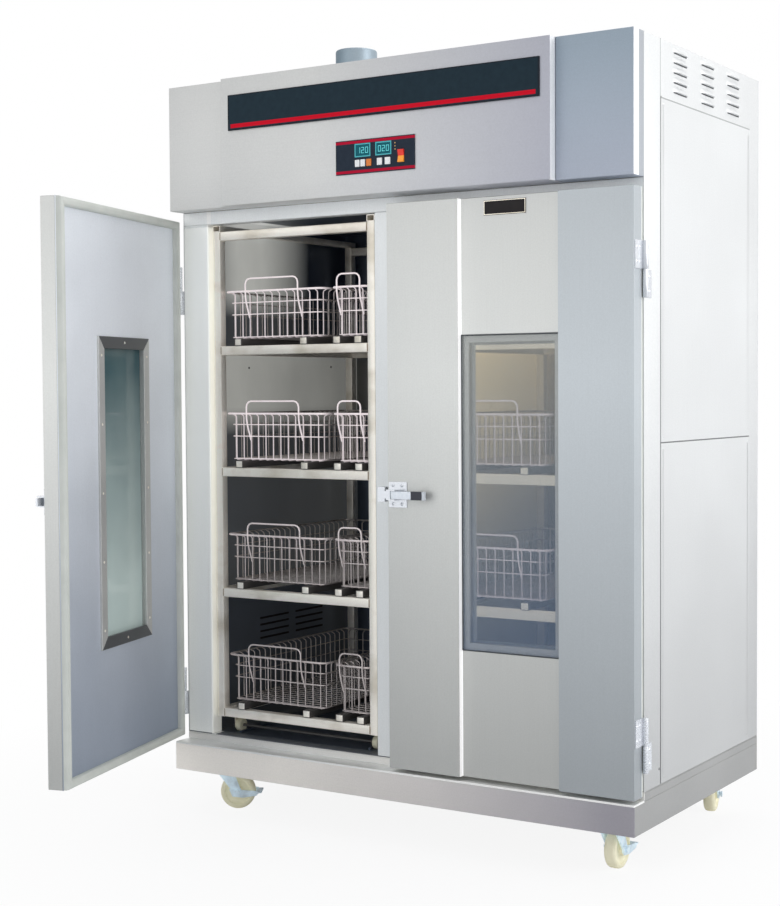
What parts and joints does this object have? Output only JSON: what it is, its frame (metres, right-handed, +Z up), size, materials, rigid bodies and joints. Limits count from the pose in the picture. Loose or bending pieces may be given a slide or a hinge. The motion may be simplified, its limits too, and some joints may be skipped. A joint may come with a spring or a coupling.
{
  "type": "dish sterilizer cabinet",
  "caption": "Tall two-door hot-air cabinet on braked casters, with wheeled racks of wire baskets that roll in, glazed doors and a control panel on its header.",
  "frame": {"origin": "on the floor, under the middle of the cabinet's body", "axes": "+X to the user's right as they face the doors, +Y from the doors to the rear cover, +Z up"},
  "size_m": [1.4884, 1.4992, 2.178],
  "materials": {
    "casing_steel": "vertically brushed stainless sheet",
    "side_steel": "pale brushed stainless sheet",
    "header_steel": "brushed stainless sheet",
    "liner_steel": "brushed stainless lining",
    "insulation_wool": "mineral wool board",
    "heater_sheath": "dark oxidised heater tube",
    "motor_paint": "dark grey enamel",
    "impeller_alloy": "plain sheet",
    "slate_panel": "dark slate faced film",
    "display_glass": "cyan framed display",
    "flue_steel": "dull stainless sheet",
    "bright_steel": "polished stainless",
    "key_white": "white moulded cap",
    "key_orange": "orange moulded cap",
    "rocker_red": "red and amber rocker",
    "zinc_plate": "bright zinc plating",
    "wheel_nylon": "cream cast nylon",
    "door_liner_steel": "brushed stainless sheet",
    "seal_rubber": "cream silicone rubber",
    "window_glass": "tempered glass with a light tint",
    "trim_steel": "brushed stainless trim",
    "trolley_steel": "brushed stainless square tube",
    "basket_wire": "polished stainless wire"
  },
  "bodies": {
    "cabinet": {"base_plinth": "casing_steel", "front_frame": "casing_steel", "outer_casing": "casing_steel", "rear_cover": "casing_steel", "side_access_panels": "side_steel", "insulation": "insulation_wool", "chamber_liner": "liner_steel", "heating_elements": "heater_sheath", "fan_motor": "motor_paint", "header_fascia": "header_steel", "sign_plate": "slate_panel", "control_panel": "slate_panel", "display_board": "display_glass", "exhaust_collar": "flue_steel", "cabinet_hardware": "bright_steel", "caster_plates": "zinc_plate"},
    "fan": {"fan_impeller": "impeller_alloy"},
    "time_up": {"time_up_key": "key_white"},
    "time_down": {"time_down_key": "key_white"},
    "start": {"start_key": "key_orange"},
    "temperature_up": {"temperature_up_key": "key_white"},
    "temperature_down": {"temperature_down_key": "key_white"},
    "rocker": {"power_rocker": "rocker_red"},
    "front_left_swivel": {"front_left_fork": "zinc_plate"},
    "front_left_roller": {"front_left_wheel": "wheel_nylon"},
    "front_left_brake": {"front_left_brake_pedal": "zinc_plate"},
    "front_right_swivel": {"front_right_fork": "zinc_plate"},
    "front_right_roller": {"front_right_wheel": "wheel_nylon"},
    "front_right_brake": {"front_right_brake_pedal": "zinc_plate"},
    "rear_left_swivel": {"rear_left_fork": "zinc_plate"},
    "rear_left_roller": {"rear_left_wheel": "wheel_nylon"},
    "rear_right_swivel": {"rear_right_fork": "zinc_plate"},
    "rear_right_roller": {"rear_right_wheel": "wheel_nylon"},
    "left_door": {"left_door_shell": "casing_steel", "left_door_liner": "door_liner_steel", "left_door_seal": "seal_rubber", "left_door_glass": "window_glass", "left_window_frame": "trim_steel", "left_door_hardware": "bright_steel"},
    "left_latch": {"left_latch_lever": "bright_steel"},
    "right_door": {"right_door_shell": "casing_steel", "right_door_liner": "door_liner_steel", "right_door_seal": "seal_rubber", "right_door_glass": "window_glass", "right_window_frame": "trim_steel", "right_door_hardware": "bright_steel"},
    "right_latch": {"right_latch_lever": "bright_steel"},
    "left_trolley": {"left_trolley_frame": "trolley_steel"},
    "left_trolley_front_axle": {"left_trolley_front_wheels": "wheel_nylon"},
    "left_trolley_rear_axle": {"left_trolley_rear_wheels": "wheel_nylon"},
    "right_trolley": {"right_trolley": "trolley_steel", "right_baskets": "basket_wire"},
    "wide_basket_1": {"wide_basket_1": "basket_wire"},
    "narrow_basket_1": {"narrow_basket_1": "basket_wire"},
    "wide_basket_2": {"wide_basket_2": "basket_wire"},
    "narrow_basket_2": {"narrow_basket_2": "basket_wire"},
    "wide_basket_3": {"wide_basket_3": "basket_wire"},
    "narrow_basket_3": {"narrow_basket_3": "basket_wire"},
    "wide_basket_4": {"wide_basket_4": "basket_wire"},
    "narrow_basket_4": {"narrow_basket_4": "basket_wire"}
  },
  "joints": [
    {"name": "fan_spin", "type": "hinge", "parent": "cabinet", "child": "fan", "pos_m": [0, 0.06, 1.784], "axis": [0, 0, 1], "continuous": true},
    {"name": "time_up_press", "type": "slide", "parent": "cabinet", "child": "time_up", "axis": [0, 1, 0], "range_m": [0, 0.002], "stiffness_N_per_m": 600},
    {"name": "time_down_press", "type": "slide", "parent": "cabinet", "child": "time_down", "axis": [0, 1, 0], "range_m": [0, 0.002], "stiffness_N_per_m": 600},
    {"name": "start_press", "type": "slide", "parent": "cabinet", "child": "start", "axis": [0, 1, 0], "range_m": [0, 0.002], "stiffness_N_per_m": 600},
    {"name": "temperature_up_press", "type": "slide", "parent": "cabinet", "child": "temperature_up", "axis": [0, 1, 0], "range_m": [0, 0.002], "stiffness_N_per_m": 600},
    {"name": "temperature_down_press", "type": "slide", "parent": "cabinet", "child": "temperature_down", "axis": [0, 1, 0], "range_m": [0, 0.002], "stiffness_N_per_m": 600},
    {"name": "rocker_tip", "type": "hinge", "parent": "cabinet", "child": "rocker", "pos_m": [0.0805, -0.4485, 1.7945], "axis": [1, 0, 0], "range_deg": [-4, 4]},
    {"name": "front_left_swivel_turn", "type": "hinge", "parent": "cabinet", "child": "front_left_swivel", "pos_m": [-0.605, -0.325, 0.1], "axis": [0, 0, 1], "continuous": true},
    {"name": "front_left_roll", "type": "hinge", "parent": "front_left_swivel", "child": "front_left_roller", "pos_m": [-0.57382, -0.307, 0.05], "axis": [-0.5, 0.866, 0], "continuous": true},
    {"name": "front_left_brake_press", "type": "hinge", "parent": "front_left_swivel", "child": "front_left_brake", "pos_m": [-0.57382, -0.307, 0.05], "axis": [-0.5, 0.866, 0], "range_deg": [0, 14]},
    {"name": "front_right_swivel_turn", "type": "hinge", "parent": "cabinet", "child": "front_right_swivel", "pos_m": [0.605, -0.325, 0.1], "axis": [0, 0, 1], "continuous": true},
    {"name": "front_right_roll", "type": "hinge", "parent": "front_right_swivel", "child": "front_right_roller", "pos_m": [0.605, -0.289, 0.05], "axis": [-1, 0, 0], "continuous": true},
    {"name": "front_right_brake_press", "type": "hinge", "parent": "front_right_swivel", "child": "front_right_brake", "pos_m": [0.605, -0.289, 0.05], "axis": [-1, 0, 0], "range_deg": [0, 14]},
    {"name": "rear_left_swivel_turn", "type": "hinge", "parent": "cabinet", "child": "rear_left_swivel", "pos_m": [-0.605, 0.325, 0.1], "axis": [0, 0, 1], "continuous": true},
    {"name": "rear_left_roll", "type": "hinge", "parent": "rear_left_swivel", "child": "rear_left_roller", "pos_m": [-0.59269, 0.35883, 0.05], "axis": [-0.9397, 0.342, 0], "continuous": true},
    {"name": "rear_right_swivel_turn", "type": "hinge", "parent": "cabinet", "child": "rear_right_swivel", "pos_m": [0.605, 0.325, 0.1], "axis": [0, 0, 1], "continuous": true},
    {"name": "rear_right_roll", "type": "hinge", "parent": "rear_right_swivel", "child": "rear_right_roller", "pos_m": [0.59752, 0.36021, 0.05], "axis": [-0.9781, -0.2079, 0], "continuous": true},
    {"name": "left_door_swing", "type": "hinge", "parent": "cabinet", "child": "left_door", "pos_m": [-0.7175, -0.37, 0.944], "axis": [0, 0, -1], "range_deg": [-75, 40]},
    {"name": "right_door_swing", "type": "hinge", "parent": "cabinet", "child": "right_door", "pos_m": [0.7175, -0.37, 0.944], "axis": [0, 0, 1], "range_deg": [0, 115]},
    {"name": "left_latch_pull", "type": "hinge", "parent": "left_door", "child": "left_latch", "pos_m": [-0.60713, -1.04079, 0.926], "axis": [0, 0, 1], "range_deg": [0, 70]},
    {"name": "right_latch_pull", "type": "hinge", "parent": "right_door", "child": "right_latch", "pos_m": [0.041, -0.437, 0.926], "axis": [0, 0, -1], "range_deg": [0, 70]},
    {"name": "left_trolley_roll_out", "type": "slide", "parent": "cabinet", "child": "left_trolley", "axis": [0, -1, 0], "range_m": [0, 0.36]},
    {"name": "left_trolley_front_axle_turn", "type": "hinge", "parent": "left_trolley", "child": "left_trolley_front_axle", "pos_m": [-0.34, -0.29, 0.238], "axis": [1, 0, 0], "range_deg": [-5, 1150]},
    {"name": "left_trolley_rear_axle_turn", "type": "hinge", "parent": "left_trolley", "child": "left_trolley_rear_axle", "pos_m": [-0.34, 0.28, 0.238], "axis": [1, 0, 0], "range_deg": [-5, 1150]},
    {"name": "right_trolley_play", "type": "slide", "parent": "cabinet", "child": "right_trolley", "axis": [0, -1, 0], "range_m": [0, 0.012]},
    {"name": "wide_basket_1_slide", "type": "slide", "parent": "left_trolley", "child": "wide_basket_1", "axis": [0, -1, 0], "range_m": [0, 0.45]},
    {"name": "narrow_basket_1_slide", "type": "slide", "parent": "left_trolley", "child": "narrow_basket_1", "axis": [0, -1, 0], "range_m": [0, 0.45]},
    {"name": "wide_basket_2_slide", "type": "slide", "parent": "left_trolley", "child": "wide_basket_2", "axis": [0, -1, 0], "range_m": [0, 0.45]},
    {"name": "narrow_basket_2_slide", "type": "slide", "parent": "left_trolley", "child": "narrow_basket_2", "axis": [0, -1, 0], "range_m": [0, 0.45]},
    {"name": "wide_basket_3_slide", "type": "slide", "parent": "left_trolley", "child": "wide_basket_3", "axis": [0, -1, 0], "range_m": [0, 0.45]},
    {"name": "narrow_basket_3_slide", "type": "slide", "parent": "left_trolley", "child": "narrow_basket_3", "axis": [0, -1, 0], "range_m": [0, 0.45]},
    {"name": "wide_basket_4_slide", "type": "slide", "parent": "left_trolley", "child": "wide_basket_4", "axis": [0, -1, 0], "range_m": [0, 0.45]},
    {"name": "narrow_basket_4_slide", "type": "slide", "parent": "left_trolley", "child": "narrow_basket_4", "axis": [0, -1, 0], "range_m": [0, 0.45]}
  ],
  "couplings": [
    {"joint": "left_trolley_front_axle_turn", "follows": "left_trolley_roll_out", "rad_per_m": 55.556},
    {"joint": "left_trolley_rear_axle_turn", "follows": "left_trolley_roll_out", "rad_per_m": 55.556}
  ]
}
